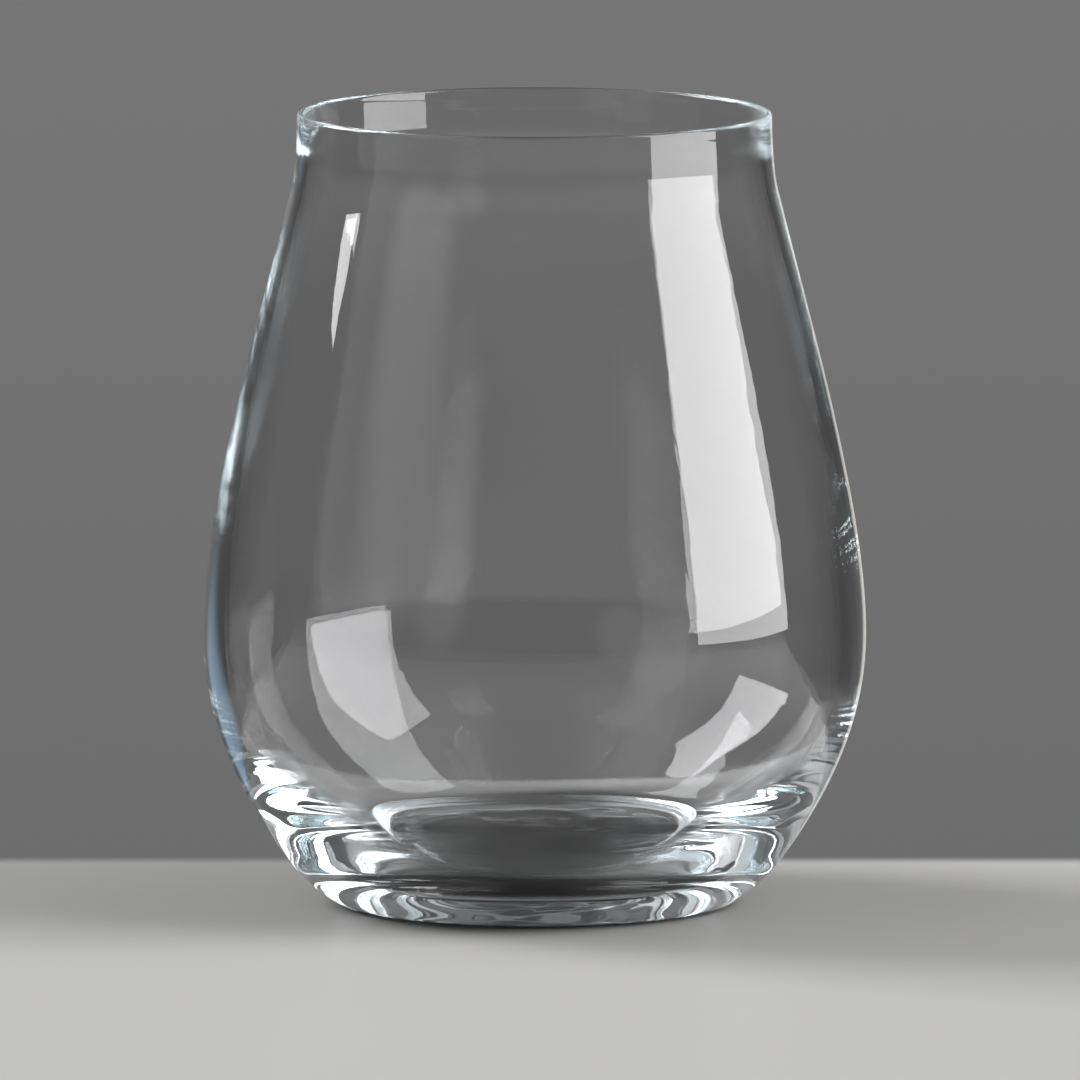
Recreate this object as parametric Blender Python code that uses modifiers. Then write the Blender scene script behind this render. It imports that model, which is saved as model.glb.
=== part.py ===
"""Stemless whisky tasting glass: a thin blown bowl seated in a heavy clear base.

Units are metres and +Z is up. The origin is on the table, at the centre of the foot ring.
Both solids are turned about Z from profiles in the XZ plane, given as (radius, height).
"""

import math
from collections import namedtuple

import bpy
from mathutils import Vector
from mathutils.geometry import interpolate_bezier

MM = 0.001

# Outside of the glass
HEIGHT = 105.5 * MM
RIM_RADIUS = 31.5 * MM
NECK_RADIUS = 32.3 * MM
NECK_HEIGHT = 95.0 * MM
NECK_FLARE = math.radians(14.5)
BELLY_RADIUS = 44.1 * MM
BELLY_HEIGHT = 35.8 * MM
HEEL_RADIUS = 33.5 * MM
HEEL_HEIGHT = 6.7 * MM
HEEL_SLOPE = math.radians(54.5)
FOOT_RADIUS = 25.6 * MM

# Wall thickness and the inside of the bowl
RIM_WALL = 1.0 * MM
LIP_TAPER = math.radians(2.2)
INNER_NECK_RADIUS = 31.15 * MM
INNER_NECK_HEIGHT = 93.6 * MM
INNER_BELLY_RADIUS = 41.2 * MM
INNER_BELLY_HEIGHT = 36.0 * MM
CORNER_RADIUS = 28.2 * MM
CORNER_HEIGHT = 9.2 * MM
CORNER_SLOPE = math.radians(43.5)
FLOOR_HEIGHT = 4.6 * MM

# Flat ring that the glass stands on, and the hollow inside it
FOOT_RING_WIDTH = 2.6 * MM
KICK_HEIGHT = 1.4 * MM
KICK_SLOPE = math.radians(60.0)

# Fused seam between the bowl and the base
BUBBLE_WALL = 1.4 * MM
SEAM_HEIGHT = 13.5 * MM
SEAM_GAP = 0.3 * MM

# How far a curve's handles reach above and below each point of the profiles
LIP_REACH = 3.5 * MM
NECK_REACH_UP = 2.0 * MM
NECK_REACH_DOWN = 24.7 * MM
BELLY_REACH_UP = 15.0 * MM
BELLY_REACH_DOWN = 12.0 * MM
HEEL_REACH_UP = 9.0 * MM
HEEL_REACH_DOWN = 5.0 * MM
FOOT_REACH = 1.4 * MM
INNER_LIP_REACH = 3.2 * MM
INNER_NECK_REACH_UP = 6.0 * MM
INNER_NECK_REACH_DOWN = 22.0 * MM
INNER_BELLY_REACH_UP = 14.0 * MM
INNER_BELLY_REACH_DOWN = 12.0 * MM
CORNER_REACH_UP = 12.0 * MM
CORNER_REACH_DOWN = 5.0 * MM
FLOOR_REACH = 16.0 * MM
KICK_REACH_RING = 2.0 * MM
KICK_REACH_CENTRE = 12.0 * MM

# Mesh density
TURN_STEPS = 60
LIP_SPANS = 6
MERGE_DISTANCE = 0.01 * MM

DOWN = Vector((0.0, -1.0))
INWARD = Vector((-1.0, 0.0))

Knot = namedtuple("Knot", "point heading reach_before reach_after")


def curve_through(knots, spans):
    """Points along smooth Bezier spans, where spans gives the steps in each span."""
    points = [knots[0].point]
    for start, end, count in zip(knots, knots[1:], spans):
        leaving = start.point + start.heading * start.reach_after
        arriving = end.point - end.heading * end.reach_before
        span = interpolate_bezier(start.point, leaving, arriving, end.point, count + 1)
        points += [point.to_2d() for point in span[1:]]
    return points


def outer_profile():
    """Outside of the glass, from the lip down to the foot ring."""
    flare = Vector((math.sin(NECK_FLARE), -math.cos(NECK_FLARE)))
    tuck = Vector((-math.cos(HEEL_SLOPE), -math.sin(HEEL_SLOPE)))
    lip = Vector((RIM_RADIUS, HEIGHT - RIM_WALL / 2))
    neck = Vector((NECK_RADIUS, NECK_HEIGHT))
    belly = Vector((BELLY_RADIUS, BELLY_HEIGHT))
    heel = Vector((HEEL_RADIUS, HEEL_HEIGHT))
    foot = Vector((FOOT_RADIUS, 0.0))
    knots = [
        Knot(lip, DOWN, 0.0, LIP_REACH),
        Knot(neck, flare, NECK_REACH_UP, NECK_REACH_DOWN),
        Knot(belly, DOWN, BELLY_REACH_UP, BELLY_REACH_DOWN),
        Knot(heel, tuck, HEEL_REACH_UP, HEEL_REACH_DOWN),
        Knot(foot, INWARD, FOOT_REACH, 0.0),
    ]
    return curve_through(knots, (5, 10, 10, 5))


def inner_profile():
    """Inside of the bowl, from the lip down to the middle of the floor."""
    flare = Vector((math.sin(NECK_FLARE), -math.cos(NECK_FLARE)))
    taper = Vector((-math.sin(LIP_TAPER), -math.cos(LIP_TAPER)))
    tuck = Vector((-math.cos(CORNER_SLOPE), -math.sin(CORNER_SLOPE)))
    lip = Vector((RIM_RADIUS - RIM_WALL, HEIGHT - RIM_WALL / 2))
    neck = Vector((INNER_NECK_RADIUS, INNER_NECK_HEIGHT))
    belly = Vector((INNER_BELLY_RADIUS, INNER_BELLY_HEIGHT))
    corner = Vector((CORNER_RADIUS, CORNER_HEIGHT))
    floor = Vector((0.0, FLOOR_HEIGHT))
    knots = [
        Knot(lip, taper, 0.0, INNER_LIP_REACH),
        Knot(neck, flare, INNER_NECK_REACH_UP, INNER_NECK_REACH_DOWN),
        Knot(belly, DOWN, INNER_BELLY_REACH_UP, INNER_BELLY_REACH_DOWN),
        Knot(corner, tuck, CORNER_REACH_UP, CORNER_REACH_DOWN),
        Knot(floor, INWARD, FLOOR_REACH, 0.0),
    ]
    return curve_through(knots, (5, 10, 8, 8))


def lip_profile():
    """Full-round lip, from the inside of the wall over to the outside."""
    radius = RIM_WALL / 2
    centre = Vector((RIM_RADIUS - radius, HEIGHT - radius))
    turns = [math.pi * (1 - i / LIP_SPANS) for i in range(LIP_SPANS + 1)]
    return [centre + Vector((math.cos(turn), math.sin(turn))) * radius for turn in turns]


def kick_profile():
    """Hollow under the base, from the inside of the foot ring to the axis."""
    rise = Vector((-math.cos(KICK_SLOPE), math.sin(KICK_SLOPE)))
    knots = [
        Knot(Vector((FOOT_RADIUS - FOOT_RING_WIDTH, 0.0)), rise, 0.0, KICK_REACH_RING),
        Knot(Vector((0.0, KICK_HEIGHT)), INWARD, KICK_REACH_CENTRE, 0.0),
    ]
    return curve_through(knots, (6,))


def offset_into_glass(points, distance):
    """The inner profile moved out into the glass, square to the curve."""
    last = len(points) - 1
    moved = []
    for i, point in enumerate(points):
        ahead = points[min(i + 1, last)]
        behind = points[max(i - 1, 0)]
        along = INWARD if i == last else (ahead - behind).normalized()
        moved.append(point + Vector((-along.y, along.x)) * distance)
    return moved


def crossing(points, height):
    """Index of the first point below a height, and the profile's own point at it."""
    below = next(i for i, point in enumerate(points) if point.y < height)
    high = points[below - 1]
    low = points[below]
    return below, high.lerp(low, (high.y - height) / (high.y - low.y))


def part_above(points, height):
    below, cut = crossing(points, height)
    return points[:below] + [cut]


def part_below(points, height):
    below, cut = crossing(points, height)
    return [cut] + points[below:]


def bowl_profile():
    """Closed bubble of glass: floor, inside, lip, outside, then its hidden underside."""
    inside = inner_profile()
    outside = part_above(outer_profile(), SEAM_HEIGHT)
    underside = part_below(offset_into_glass(inside, BUBBLE_WALL), SEAM_HEIGHT)
    return inside[::-1] + lip_profile()[1:-1] + outside + underside


def base_profile():
    """Solid base: dished seat for the bubble, heel, flat foot ring, then the kick."""
    seat_height = SEAM_HEIGHT - SEAM_GAP
    dish = offset_into_glass(inner_profile(), BUBBLE_WALL + SEAM_GAP)
    heel = part_below(outer_profile(), seat_height)
    return part_below(dish, seat_height)[::-1] + heel + kick_profile()


def clear_glass(name):
    """Colourless crystal with a faint cool tint and a polished surface."""
    material = bpy.data.materials.new(name)
    material.use_nodes = True
    shader = material.node_tree.nodes["Principled BSDF"]
    shader.inputs["Base Color"].default_value = (0.94, 0.97, 0.98, 1.0)
    shader.inputs["Metallic"].default_value = 0.0
    shader.inputs["Roughness"].default_value = 0.02
    shader.inputs["IOR"].default_value = 1.52
    shader.inputs["Transmission Weight"].default_value = 1.0
    return material


def turned(name, profile, seat_height, parent, collection):
    """A solid of revolution, with its own origin on the axis at seat_height."""
    mesh = bpy.data.meshes.new(name)
    points = [(point.x, 0.0, point.y - seat_height) for point in profile]
    mesh.from_pydata(points, [(i, i + 1) for i in range(len(points) - 1)], [])
    mesh.materials.append(clear_glass(name + "_glass"))
    solid = bpy.data.objects.new(name, mesh)
    solid.parent = parent
    solid.location.z = seat_height
    collection.objects.link(solid)
    screw = solid.modifiers.new("Turn", "SCREW")
    screw.axis = "Z"
    screw.angle = math.tau
    screw.steps = TURN_STEPS
    screw.render_steps = TURN_STEPS
    screw.use_merge_vertices = True
    screw.merge_threshold = MERGE_DISTANCE
    screw.use_smooth_shade = True
    return solid


def clear_scene():
    for obj in list(bpy.data.objects):
        bpy.data.objects.remove(obj, do_unlink=True)


def main():
    clear_scene()
    collection = bpy.data.collections.new("whisky_tasting_glass")
    bpy.context.scene.collection.children.link(collection)
    axis = bpy.data.objects.new("glass_axis", None)
    collection.objects.link(axis)
    turned("base", base_profile(), 0.0, axis, collection)
    turned("bowl", bowl_profile(), SEAM_HEIGHT, axis, collection)


main()
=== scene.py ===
"""Studio view of the stemless whisky tasting glass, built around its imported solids.

The bowl and the base show as one continuous body of clear glass, with the slight unevenness
of blown glass. Units are metres and +Z is up. The photograph looks along +Y, and azimuths run
from its camera's side towards +X.
"""

import math
from collections import namedtuple

import bpy
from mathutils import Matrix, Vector, noise
from mathutils.geometry import interpolate_bezier

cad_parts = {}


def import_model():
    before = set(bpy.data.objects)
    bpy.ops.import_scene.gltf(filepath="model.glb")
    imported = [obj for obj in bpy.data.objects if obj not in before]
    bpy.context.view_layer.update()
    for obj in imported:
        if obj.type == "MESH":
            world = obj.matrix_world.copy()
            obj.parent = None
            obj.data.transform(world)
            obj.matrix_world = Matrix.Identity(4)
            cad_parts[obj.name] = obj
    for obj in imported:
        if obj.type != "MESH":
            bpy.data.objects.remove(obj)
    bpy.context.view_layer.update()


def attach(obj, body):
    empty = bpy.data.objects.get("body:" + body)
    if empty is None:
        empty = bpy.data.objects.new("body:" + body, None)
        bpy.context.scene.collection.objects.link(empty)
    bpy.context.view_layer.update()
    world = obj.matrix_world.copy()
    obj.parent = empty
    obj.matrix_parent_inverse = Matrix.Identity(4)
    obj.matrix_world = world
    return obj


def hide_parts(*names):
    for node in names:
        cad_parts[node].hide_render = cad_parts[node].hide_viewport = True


MM = 0.001

# Outside of the glass
HEIGHT = 105.5 * MM
RIM_RADIUS = 31.5 * MM
NECK_RADIUS = 32.3 * MM
NECK_HEIGHT = 95.0 * MM
NECK_FLARE = math.radians(14.5)
BELLY_RADIUS = 44.1 * MM
BELLY_HEIGHT = 35.8 * MM
HEEL_RADIUS = 33.5 * MM
HEEL_HEIGHT = 6.7 * MM
HEEL_SLOPE = math.radians(54.5)
FOOT_RADIUS = 25.6 * MM

# Wall thickness and the inside of the bowl
RIM_WALL = 1.0 * MM
LIP_TAPER = math.radians(2.2)
INNER_NECK_RADIUS = 31.15 * MM
INNER_NECK_HEIGHT = 93.6 * MM
INNER_BELLY_RADIUS = 41.2 * MM
INNER_BELLY_HEIGHT = 36.0 * MM
CORNER_RADIUS = 28.2 * MM
CORNER_HEIGHT = 9.2 * MM
CORNER_SLOPE = math.radians(43.5)
FLOOR_HEIGHT = 4.6 * MM

# Flat ring that the glass stands on, and the hollow inside it
FOOT_RING_WIDTH = 2.6 * MM
KICK_HEIGHT = 1.4 * MM
KICK_SLOPE = math.radians(60.0)

# How far a curve's handles reach above and below each point of the profiles
LIP_REACH = 3.5 * MM
NECK_REACH_UP = 2.0 * MM
NECK_REACH_DOWN = 24.7 * MM
BELLY_REACH_UP = 15.0 * MM
BELLY_REACH_DOWN = 12.0 * MM
HEEL_REACH_UP = 9.0 * MM
HEEL_REACH_DOWN = 5.0 * MM
FOOT_REACH = 1.4 * MM
INNER_LIP_REACH = 3.2 * MM
INNER_NECK_REACH_UP = 6.0 * MM
INNER_NECK_REACH_DOWN = 22.0 * MM
INNER_BELLY_REACH_UP = 14.0 * MM
INNER_BELLY_REACH_DOWN = 12.0 * MM
CORNER_REACH_UP = 12.0 * MM
CORNER_REACH_DOWN = 5.0 * MM
FLOOR_REACH = 16.0 * MM
KICK_REACH_RING = 2.0 * MM
KICK_REACH_CENTRE = 12.0 * MM

# Mesh density
TURN_STEPS = 300
CURVE_STEPS = 200
ROW_SPACING = 1.0 * MM
KICK_SPACING = 0.5 * MM
LIP_SPANS = 12

# Seed of the folds in the curls, and the place in the noise that shapes each surface
FOLD_SEED = 3
INSIDE_SEED = Vector((3.1, 7.7, 1.3))
OUTSIDE_SEED = Vector((11.9, 2.3, 5.1))
KICK_SEED = Vector((5.5, 9.1, 2.7))

# Long waves of the blown wall: how far they stand out, their size, and where they begin and die out
WALL_WAVE = 0.09 * MM
WALL_WAVE_WIDTH = 20.0 * MM
WALL_WAVE_LENGTH = 26.0 * MM
INNER_WAVE_START = (12.0 * MM, 26.0 * MM)
OUTER_WAVE_START = (14.0 * MM, 28.0 * MM)
WAVE_END = (94.0 * MM, 101.0 * MM)

# Flat ripples round the heel and the inside corner
CORNER_RIPPLE = 0.06 * MM
HEEL_RIPPLE = 0.05 * MM
RIPPLE_WIDTH = 34.0 * MM
RIPPLE_HEIGHT = 6.0 * MM
CORNER_EDGE = (16.0 * MM, 25.0 * MM)
HEEL_EDGE = (0.5 * MM, 3.0 * MM)

# Curls left in the soft glass of the floor and of the kick; their folds are larger than they are
CURL_FOLD = 1.4
CURL_FOLD_SCALE = 0.5
FLOOR_CURL = 0.50 * MM
FLOOR_CURL_SIZE = 6.0 * MM
FLOOR_CURL_PLACE = Vector((3.0, 9.0)) * MM
FLOOR_CURL_REACH = (5.0 * MM, 14.0 * MM)
KICK_CURL = 0.60 * MM
KICK_CURL_SIZE = 8.0 * MM
KICK_CURL_PLACE = Vector((4.0, 4.0)) * MM
KICK_CURL_REACH = (5.0 * MM, 14.0 * MM)

# Glass, a little cooler where it is thick
WALL_TINT = (0.905, 0.90, 0.905)
BASE_TINT = (0.895, 0.902, 0.912)
TINT_HEIGHTS = (4.0 * MM, 24.0 * MM)
GLASS_IOR = 1.52
ABSORPTION_TINT = (0.80, 0.93, 0.97)
ABSORPTION_DENSITY = 4.0

# Fine upright streaks in the wall, which lean round the glass, and faint smears from wiping it
STREAK_HEIGHT = 0.008 * MM
STREAK_WIDTH = 1.6 * MM
STREAK_LENGTH = 45.0 * MM
STREAK_TWIST = 4.0
STREAK_START = (12.0 * MM, 26.0 * MM)
SMEAR_SIZE = 14.0 * MM
SMEAR_SHARE = (0.52, 0.75)
SMEAR_ROUGHNESS = 0.03

# Pale floor, which fades out around the glass and ends a little way behind it
FLOOR_COLOUR = (0.50, 0.497, 0.49)
FLOOR_ROUGHNESS = 0.4
FLOOR_IOR = 1.06
FLOOR_FADE = (150.0 * MM, 900.0 * MM)
FLOOR_BACK_EDGE = (34.0 * MM, 44.0 * MM)
FLOOR_DROP = 0.2 * MM

# Brightness of the room, and the angles in degrees over which it changes
BACKDROP = 0.183
BACKDROP_FOOT = 0.15
BACKDROP_FOOT_RISE = (-9.0, -5.0)
BACKDROP_SPREAD = (28.0, 4.0)
ROOM_SIDES = 0.065
ROOM_LOW = 0.14
ROOM_LOW_RISE = (-14.0, -9.5)
CEILING = 0.9
CEILING_RISE = (24.0, 60.0)
CEILING_TURN = (5.0, 35.0)

# Soft round lights of the room, and those that only reflections in the glass's edges show
Glow = namedtuple("Glow", "azimuth elevation width colour")
FRONT_GLOWS = [Glow(-55.0, 16.0, 20.0, (0.6, 0.6, 0.6)), Glow(-34.0, 8.0, 14.0, (0.4, 0.4, 0.4))]
EDGE_GLOWS = [
    Glow(-152.0, -16.0, 15.0, (0.36, 0.62, 0.88)),
    Glow(170.0, -8.0, 9.0, (0.70, 0.66, 0.62)),
]

# Panel lights, by the angles that they span as seen from the glass
Panel = namedtuple("Panel", "azimuths elevations brightness roll")
PANEL_DISTANCE = 1.6
RIGHT_PANEL = Panel((57.5, 98.0), (-3.1, 49.0), 6.8, 0.0)
LEFT_PANEL = Panel((-128.0, -95.0), (12.7, 49.0), 9.0, -6.0)

# Camera
CAMERA_DISTANCE = 3.0
CAMERA_ELEVATION = math.radians(7.18)
FRAME_WIDTH = 143.53 * MM
AIM = Vector((0.73, -0.21, 48.31)) * MM
SENSOR = 36.0

# Light bounces; the thick heel reflects light inside itself many times
BOUNCES = 128

DOWN = Vector((0.0, -1.0))
INWARD = Vector((-1.0, 0.0))

Knot = namedtuple("Knot", "point heading reach_before reach_after")


def curve_through(knots, spacing=ROW_SPACING):
    """Evenly spaced points along smooth Bezier spans."""
    fine = [knots[0].point]
    for start, end in zip(knots, knots[1:]):
        leaving = start.point + start.heading * start.reach_after
        arriving = end.point - end.heading * end.reach_before
        span = interpolate_bezier(start.point, leaving, arriving, end.point, CURVE_STEPS + 1)
        fine += [point.to_2d() for point in span[1:]]
    return evenly_spaced(fine, spacing)


def evenly_spaced(fine, spacing):
    reached = [0.0]
    for before, after in zip(fine, fine[1:]):
        reached.append(reached[-1] + (after - before).length)
    count = round(reached[-1] / spacing)
    points = [fine[0]]
    at = 0
    for i in range(1, count):
        goal = reached[-1] * i / count
        while reached[at + 1] < goal:
            at += 1
        share = (goal - reached[at]) / (reached[at + 1] - reached[at])
        points.append(fine[at].lerp(fine[at + 1], share))
    return points + [fine[-1]]


def outer_profile():
    """Outside of the glass, from the lip down to the foot ring."""
    flare = Vector((math.sin(NECK_FLARE), -math.cos(NECK_FLARE)))
    tuck = Vector((-math.cos(HEEL_SLOPE), -math.sin(HEEL_SLOPE)))
    lip = Vector((RIM_RADIUS, HEIGHT - RIM_WALL / 2))
    neck = Vector((NECK_RADIUS, NECK_HEIGHT))
    belly = Vector((BELLY_RADIUS, BELLY_HEIGHT))
    heel = Vector((HEEL_RADIUS, HEEL_HEIGHT))
    foot = Vector((FOOT_RADIUS, 0.0))
    knots = [
        Knot(lip, DOWN, 0.0, LIP_REACH),
        Knot(neck, flare, NECK_REACH_UP, NECK_REACH_DOWN),
        Knot(belly, DOWN, BELLY_REACH_UP, BELLY_REACH_DOWN),
        Knot(heel, tuck, HEEL_REACH_UP, HEEL_REACH_DOWN),
        Knot(foot, INWARD, FOOT_REACH, 0.0),
    ]
    return curve_through(knots)


def inner_profile():
    """Inside of the bowl, from the lip down to the middle of the floor."""
    flare = Vector((math.sin(NECK_FLARE), -math.cos(NECK_FLARE)))
    taper = Vector((-math.sin(LIP_TAPER), -math.cos(LIP_TAPER)))
    tuck = Vector((-math.cos(CORNER_SLOPE), -math.sin(CORNER_SLOPE)))
    lip = Vector((RIM_RADIUS - RIM_WALL, HEIGHT - RIM_WALL / 2))
    neck = Vector((INNER_NECK_RADIUS, INNER_NECK_HEIGHT))
    belly = Vector((INNER_BELLY_RADIUS, INNER_BELLY_HEIGHT))
    corner = Vector((CORNER_RADIUS, CORNER_HEIGHT))
    floor = Vector((0.0, FLOOR_HEIGHT))
    knots = [
        Knot(lip, taper, 0.0, INNER_LIP_REACH),
        Knot(neck, flare, INNER_NECK_REACH_UP, INNER_NECK_REACH_DOWN),
        Knot(belly, DOWN, INNER_BELLY_REACH_UP, INNER_BELLY_REACH_DOWN),
        Knot(corner, tuck, CORNER_REACH_UP, CORNER_REACH_DOWN),
        Knot(floor, INWARD, FLOOR_REACH, 0.0),
    ]
    return curve_through(knots)


def lip_profile():
    """Full-round lip, from the inside of the wall over to the outside."""
    radius = RIM_WALL / 2
    centre = Vector((RIM_RADIUS - radius, HEIGHT - radius))
    turns = [math.pi * (1 - i / LIP_SPANS) for i in range(LIP_SPANS + 1)]
    return [centre + Vector((math.cos(turn), math.sin(turn))) * radius for turn in turns]


def kick_profile():
    """Hollow under the base, from the inside of the foot ring to the axis."""
    rise = Vector((-math.cos(KICK_SLOPE), math.sin(KICK_SLOPE)))
    knots = [
        Knot(Vector((FOOT_RADIUS - FOOT_RING_WIDTH, 0.0)), rise, 0.0, KICK_REACH_RING),
        Knot(Vector((0.0, KICK_HEIGHT)), INWARD, KICK_REACH_CENTRE, 0.0),
    ]
    return curve_through(knots, KICK_SPACING)


def ease(value, low, high):
    """Smooth step from 0 at low to 1 at high."""
    share = min(max((value - low) / (high - low), 0.0), 1.0)
    return share * share * (3 - 2 * share)


def curl(spot, size, place, reach, seed):
    """Folded noise, like the curls that a tool leaves in soft glass, near a place."""
    near = 1 - ease((spot.xy - place).length, *reach)
    at = spot / size + seed
    return near * noise.noise(at + noise.noise_vector(at * CURL_FOLD_SCALE) * CURL_FOLD)


def wave(spot, width, height, seed):
    """Noise whose waves have one size around the glass and another up and down."""
    return noise.noise(Vector((spot.x / width, spot.y / width, spot.z / height)) + seed)


def wall_wave(spot, seed):
    calm = 1 - ease(spot.z, *WAVE_END)
    return WALL_WAVE * calm * wave(spot, WALL_WAVE_WIDTH, WALL_WAVE_LENGTH, seed)


def inside_rise(spot):
    """Unevenness of the inside: waves on the wall, ripples in the corner, curls on the floor."""
    off_floor = ease(spot.xy.length, *CORNER_EDGE)
    on_wall = ease(spot.z, *INNER_WAVE_START)
    ripple = CORNER_RIPPLE * wave(spot, RIPPLE_WIDTH, RIPPLE_HEIGHT, INSIDE_SEED)
    curls = FLOOR_CURL * curl(spot, FLOOR_CURL_SIZE, FLOOR_CURL_PLACE, FLOOR_CURL_REACH, INSIDE_SEED)
    return on_wall * wall_wave(spot, INSIDE_SEED) + off_floor * (1 - on_wall) * ripple + curls


def outside_rise(spot):
    """Unevenness of the outside: waves on the wall, ripples in the heel."""
    on_wall = ease(spot.z, *OUTER_WAVE_START)
    off_foot = ease(spot.z, *HEEL_EDGE)
    ripple = HEEL_RIPPLE * wave(spot, RIPPLE_WIDTH, RIPPLE_HEIGHT, OUTSIDE_SEED)
    return on_wall * wall_wave(spot, OUTSIDE_SEED) + off_foot * (1 - on_wall) * ripple


def kick_rise(spot):
    """Unevenness of the hollow under the base: curls only."""
    return KICK_CURL * curl(spot, KICK_CURL_SIZE, KICK_CURL_PLACE, KICK_CURL_REACH, KICK_SEED)


def still(spot):
    """No unevenness, for the lip."""
    return 0.0


def ring_rows():
    """Profile points from the floor of the bowl over the lip to the kick, each with its own unevenness."""
    rows = [(point, inside_rise) for point in inner_profile()[::-1]]
    rows += [(point, still) for point in lip_profile()[1:-1]]
    rows += [(point, outside_rise) for point in outer_profile()]
    rows += [(point, kick_rise) for point in kick_profile()]
    return rows


def uneven(rows, index, turn):
    """Point of a row at a turn about Z, moved out of the glass by the row's unevenness."""
    point, rise = rows[index]
    along = (rows[min(index + 1, len(rows) - 1)][0] - rows[max(index - 1, 0)][0]).normalized()
    spot = Vector((point.x * math.cos(turn), point.x * math.sin(turn), point.y))
    outward = Vector((-along.y * math.cos(turn), -along.y * math.sin(turn), along.x))
    return spot + outward * rise(spot)


def glass_mesh():
    """Closed body turned about Z; the first and the last row are single points on the axis."""
    noise.seed_set(FOLD_SEED)
    rows = ring_rows()
    turns = [math.tau * i / TURN_STEPS for i in range(TURN_STEPS)]
    rings = range(1, len(rows) - 1)
    points = [uneven(rows, index, turn) for index in rings for turn in turns]
    first = len(points)
    last = first + 1
    points += [uneven(rows, 0, 0.0), uneven(rows, len(rows) - 1, 0.0)]
    end = (len(rings) - 1) * TURN_STEPS
    faces = []
    for i in range(TURN_STEPS):
        j = (i + 1) % TURN_STEPS
        faces.append((first, i, j))
        for row in range(0, end, TURN_STEPS):
            below = row + TURN_STEPS
            faces.append((row + i, below + i, below + j, row + j))
        faces.append((last, end + j, end + i))
    mesh = bpy.data.meshes.new("glass_body")
    mesh.from_pydata(points, [], faces)
    mesh.shade_smooth()
    return mesh


def map_range(tree, value, low, high):
    """Smooth share of a value between two limits."""
    node = tree.nodes.new("ShaderNodeMapRange")
    node.interpolation_type = "SMOOTHERSTEP"
    node.inputs["From Min"].default_value = low
    node.inputs["From Max"].default_value = high
    tree.links.new(value, node.inputs["Value"])
    return node.outputs["Result"]


def separate(tree, vector):
    node = tree.nodes.new("ShaderNodeSeparateXYZ")
    tree.links.new(vector, node.inputs["Vector"])
    return node.outputs


def tint_by_height(tree, height):
    node = tree.nodes.new("ShaderNodeMix")
    node.data_type = "RGBA"
    node.inputs["A"].default_value = (*BASE_TINT, 1.0)
    node.inputs["B"].default_value = (*WALL_TINT, 1.0)
    tree.links.new(map_range(tree, height, *TINT_HEIGHTS), node.inputs["Factor"])
    return node.outputs["Result"]


def smears(tree, where):
    """Roughness of the faint smears, which leave most of the glass clear."""
    cloud = tree.nodes.new("ShaderNodeTexNoise")
    cloud.inputs["Scale"].default_value = 1 / SMEAR_SIZE
    tree.links.new(where, cloud.inputs["Vector"])
    rough = tree.nodes.new("ShaderNodeMath")
    rough.operation = "MULTIPLY"
    rough.inputs[1].default_value = SMEAR_ROUGHNESS
    tree.links.new(map_range(tree, cloud.outputs["Fac"], *SMEAR_SHARE), rough.inputs[0])
    return rough.outputs["Value"]


def streaks(tree, where, height):
    """Normal with fine upright streaks, above the base only."""
    lean = tree.nodes.new("ShaderNodeMath")
    lean.operation = "MULTIPLY"
    lean.inputs[1].default_value = STREAK_TWIST
    tree.links.new(height, lean.inputs[0])
    twist = tree.nodes.new("ShaderNodeVectorRotate")
    twist.rotation_type = "Z_AXIS"
    tree.links.new(where, twist.inputs["Vector"])
    tree.links.new(lean.outputs["Value"], twist.inputs["Angle"])
    stretch = tree.nodes.new("ShaderNodeMapping")
    stretch.inputs["Scale"].default_value = (1 / STREAK_WIDTH, 1 / STREAK_WIDTH, 1 / STREAK_LENGTH)
    tree.links.new(twist.outputs["Vector"], stretch.inputs["Vector"])
    grain = tree.nodes.new("ShaderNodeTexNoise")
    grain.inputs["Scale"].default_value = 1.0
    tree.links.new(stretch.outputs["Vector"], grain.inputs["Vector"])
    bump = tree.nodes.new("ShaderNodeBump")
    bump.inputs["Distance"].default_value = STREAK_HEIGHT
    tree.links.new(grain.outputs["Fac"], bump.inputs["Height"])
    tree.links.new(map_range(tree, height, *STREAK_START), bump.inputs["Strength"])
    return bump.outputs["Normal"]


def glass_material():
    material = bpy.data.materials.new("clear_glass")
    material.use_nodes = True
    tree = material.node_tree
    where = tree.nodes.new("ShaderNodeTexCoord").outputs["Object"]
    height = separate(tree, where)["Z"]
    shader = tree.nodes["Principled BSDF"]
    shader.inputs["Metallic"].default_value = 0.0
    shader.inputs["IOR"].default_value = GLASS_IOR
    shader.inputs["Transmission Weight"].default_value = 1.0
    tree.links.new(tint_by_height(tree, height), shader.inputs["Base Color"])
    tree.links.new(smears(tree, where), shader.inputs["Roughness"])
    tree.links.new(streaks(tree, where, height), shader.inputs["Normal"])
    absorb = tree.nodes.new("ShaderNodeVolumeAbsorption")
    absorb.inputs["Color"].default_value = (*ABSORPTION_TINT, 1.0)
    absorb.inputs["Density"].default_value = ABSORPTION_DENSITY
    tree.links.new(absorb.outputs["Volume"], tree.nodes["Material Output"].inputs["Volume"])
    return material


def glass_body():
    mesh = glass_mesh()
    mesh.materials.append(glass_material())
    body = bpy.data.objects.new("glass_body", mesh)
    bpy.context.scene.collection.objects.link(body)
    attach(body, "root")
    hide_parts("bowl", "base")


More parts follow.
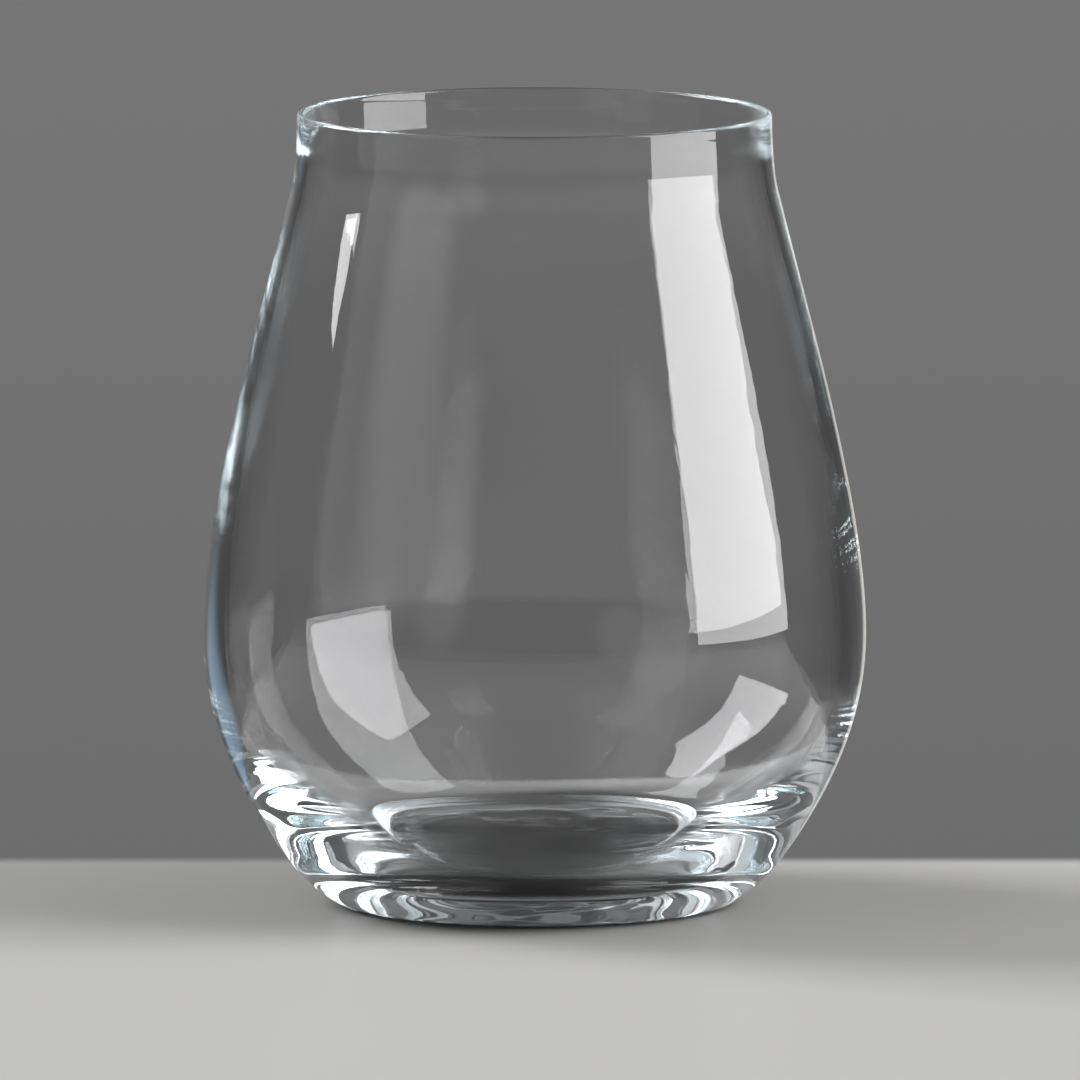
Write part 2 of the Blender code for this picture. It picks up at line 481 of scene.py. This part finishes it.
def floor_material():
    material = bpy.data.materials.new("floor")
    material.use_nodes = True
    tree = material.node_tree
    shader = tree.nodes["Principled BSDF"]
    shader.inputs["Base Color"].default_value = (*FLOOR_COLOUR, 1.0)
    shader.inputs["Roughness"].default_value = FLOOR_ROUGHNESS
    shader.inputs["IOR"].default_value = FLOOR_IOR
    where = tree.nodes.new("ShaderNodeTexCoord").outputs["Object"]
    reach = tree.nodes.new("ShaderNodeVectorMath")
    reach.operation = "LENGTH"
    tree.links.new(where, reach.inputs[0])
    fade = tree.nodes.new("ShaderNodeMath")
    fade.operation = "MAXIMUM"
    tree.links.new(map_range(tree, reach.outputs["Value"], *FLOOR_FADE), fade.inputs[0])
    tree.links.new(map_range(tree, separate(tree, where)["Y"], *FLOOR_BACK_EDGE), fade.inputs[1])
    clear = tree.nodes.new("ShaderNodeBsdfTransparent")
    mix = tree.nodes.new("ShaderNodeMixShader")
    tree.links.new(fade.outputs["Value"], mix.inputs["Fac"])
    tree.links.new(shader.outputs["BSDF"], mix.inputs[1])
    tree.links.new(clear.outputs["BSDF"], mix.inputs[2])
    tree.links.new(mix.outputs["Shader"], tree.nodes["Material Output"].inputs["Surface"])
    return material


def floor():
    side = FLOOR_FADE[1]
    corners = [(-side, -side, 0), (side, -side, 0), (side, side, 0), (-side, side, 0)]
    mesh = bpy.data.meshes.new("floor")
    mesh.from_pydata(corners, [], [(0, 1, 2, 3)])
    mesh.materials.append(floor_material())
    obj = bpy.data.objects.new("floor", mesh)
    obj.location.z = -FLOOR_DROP
    bpy.context.scene.collection.objects.link(obj)


def level(tree, share, low, high):
    """Brightness that goes from low to high with a share; each is a number or a socket."""
    node = tree.nodes.new("ShaderNodeMix")
    tree.links.new(share, node.inputs["Factor"])
    for name, value in (("A", low), ("B", high)):
        if isinstance(value, float):
            node.inputs[name].default_value = value
        else:
            tree.links.new(value, node.inputs[name])
    return node.outputs["Result"]


def rise(tree, value, angles):
    """Smooth share of a direction's component between the sines of two angles in degrees."""
    low, high = [math.sin(math.radians(angle)) for angle in angles]
    return map_range(tree, value, low, high)


def room_brightness(tree, direction):
    """Grey backdrop behind the glass, darker room to its sides, an even grey below and a lit ceiling."""
    aside, ahead, up = separate(tree, direction)
    sideways = tree.nodes.new("ShaderNodeMath")
    sideways.operation = "ABSOLUTE"
    tree.links.new(aside, sideways.inputs[0])
    behind_glass = rise(tree, ahead, [90 - angle for angle in BACKDROP_SPREAD])
    backdrop = level(tree, rise(tree, up, BACKDROP_FOOT_RISE), BACKDROP_FOOT, BACKDROP)
    around = level(tree, behind_glass, ROOM_SIDES, backdrop)
    walls = level(tree, rise(tree, up, ROOM_LOW_RISE), ROOM_LOW, around)
    ceiling = level(tree, rise(tree, sideways.outputs["Value"], CEILING_TURN), ROOM_SIDES, CEILING)
    return level(tree, rise(tree, up, CEILING_RISE), walls, ceiling)


def glow_colour(tree, direction, glow):
    turn = math.radians(glow.azimuth)
    climb = math.radians(glow.elevation)
    flat = math.cos(climb)
    near = tree.nodes.new("ShaderNodeVectorMath")
    near.operation = "DOT_PRODUCT"
    near.inputs[1].default_value = (flat * math.sin(turn), -flat * math.cos(turn), math.sin(climb))
    tree.links.new(direction, near.inputs[0])
    part = tree.nodes.new("ShaderNodeVectorMath")
    part.operation = "SCALE"
    part.inputs[0].default_value = glow.colour
    share = map_range(tree, near.outputs["Value"], math.cos(math.radians(glow.width)), 1.0)
    tree.links.new(share, part.inputs["Scale"])
    return part.outputs["Vector"]


def summed(tree, colours):
    total = colours[0]
    for colour in colours[1:]:
        node = tree.nodes.new("ShaderNodeVectorMath")
        node.operation = "ADD"
        tree.links.new(total, node.inputs[0])
        tree.links.new(colour, node.inputs[1])
        total = node.outputs["Vector"]
    return total


def mirrored_only(tree):
    """1 for light that a surface mirrors, 0 for light seen straight on or through the glass."""
    path = tree.nodes.new("ShaderNodeLightPath")
    node = tree.nodes.new("ShaderNodeMath")
    node.operation = "SUBTRACT"
    node.use_clamp = True
    tree.links.new(path.outputs["Is Glossy Ray"], node.inputs[0])
    tree.links.new(path.outputs["Is Transmission Ray"], node.inputs[1])
    return node.outputs["Value"]


def world():
    studio = bpy.data.worlds.new("studio")
    bpy.context.scene.world = studio
    studio.use_nodes = True
    tree = studio.node_tree
    direction = tree.nodes.new("ShaderNodeTexCoord").outputs["Generated"]
    room = tree.nodes["Background"]
    shades = [room_brightness(tree, direction)]
    shades += [glow_colour(tree, direction, glow) for glow in FRONT_GLOWS]
    tree.links.new(summed(tree, shades), room.inputs["Color"])
    edges = tree.nodes.new("ShaderNodeBackground")
    shades = [glow_colour(tree, direction, glow) for glow in EDGE_GLOWS]
    tree.links.new(summed(tree, shades), edges.inputs["Color"])
    tree.links.new(mirrored_only(tree), edges.inputs["Strength"])
    total = tree.nodes.new("ShaderNodeAddShader")
    tree.links.new(room.outputs["Background"], total.inputs[0])
    tree.links.new(edges.outputs["Background"], total.inputs[1])
    tree.links.new(total.outputs["Shader"], tree.nodes["World Output"].inputs["Surface"])


def softbox(name, panel):
    """Panel light that faces the axis of the glass, with the power that its brightness needs."""
    turn = math.radians(sum(panel.azimuths) / 2)
    spread = math.radians(panel.azimuths[1] - panel.azimuths[0])
    low, high = [PANEL_DISTANCE * math.tan(math.radians(angle)) + AIM.z for angle in panel.elevations]
    light = bpy.data.lights.new(name, "AREA")
    light.shape = "RECTANGLE"
    light.size = 2 * PANEL_DISTANCE * math.tan(spread / 2)
    light.size_y = high - low
    light.energy = panel.brightness * math.pi * light.size * light.size_y
    lamp = bpy.data.objects.new(name, light)
    lamp.location = (PANEL_DISTANCE * math.sin(turn), -PANEL_DISTANCE * math.cos(turn), (low + high) / 2)
    lamp.rotation_euler = (math.radians(90), math.radians(panel.roll), turn)
    lamp.visible_camera = False
    bpy.context.scene.collection.objects.link(lamp)


def camera():
    lens = bpy.data.cameras.new("camera")
    lens.sensor_width = SENSOR
    lens.lens = SENSOR * CAMERA_DISTANCE / FRAME_WIDTH
    view = bpy.data.objects.new("camera", lens)
    back = Vector((0.0, -math.cos(CAMERA_ELEVATION), math.sin(CAMERA_ELEVATION)))
    view.location = AIM + back * CAMERA_DISTANCE
    view.rotation_euler = (math.radians(90) - CAMERA_ELEVATION, 0.0, 0.0)
    bpy.context.scene.collection.objects.link(view)
    bpy.context.scene.camera = view


def render_settings():
    """Enough bounces for the heel, and no light gathered through the glass onto the floor."""
    scene = bpy.context.scene
    scene.view_settings.view_transform = "Standard"
    scene.cycles.max_bounces = BOUNCES
    scene.cycles.transmission_bounces = BOUNCES
    scene.cycles.glossy_bounces = BOUNCES
    scene.cycles.caustics_refractive = False
    scene.cycles.caustics_reflective = False


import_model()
glass_body()
floor()
world()
softbox("right_softbox", RIGHT_PANEL)
softbox("left_softbox", LEFT_PANEL)
camera()
render_settings()
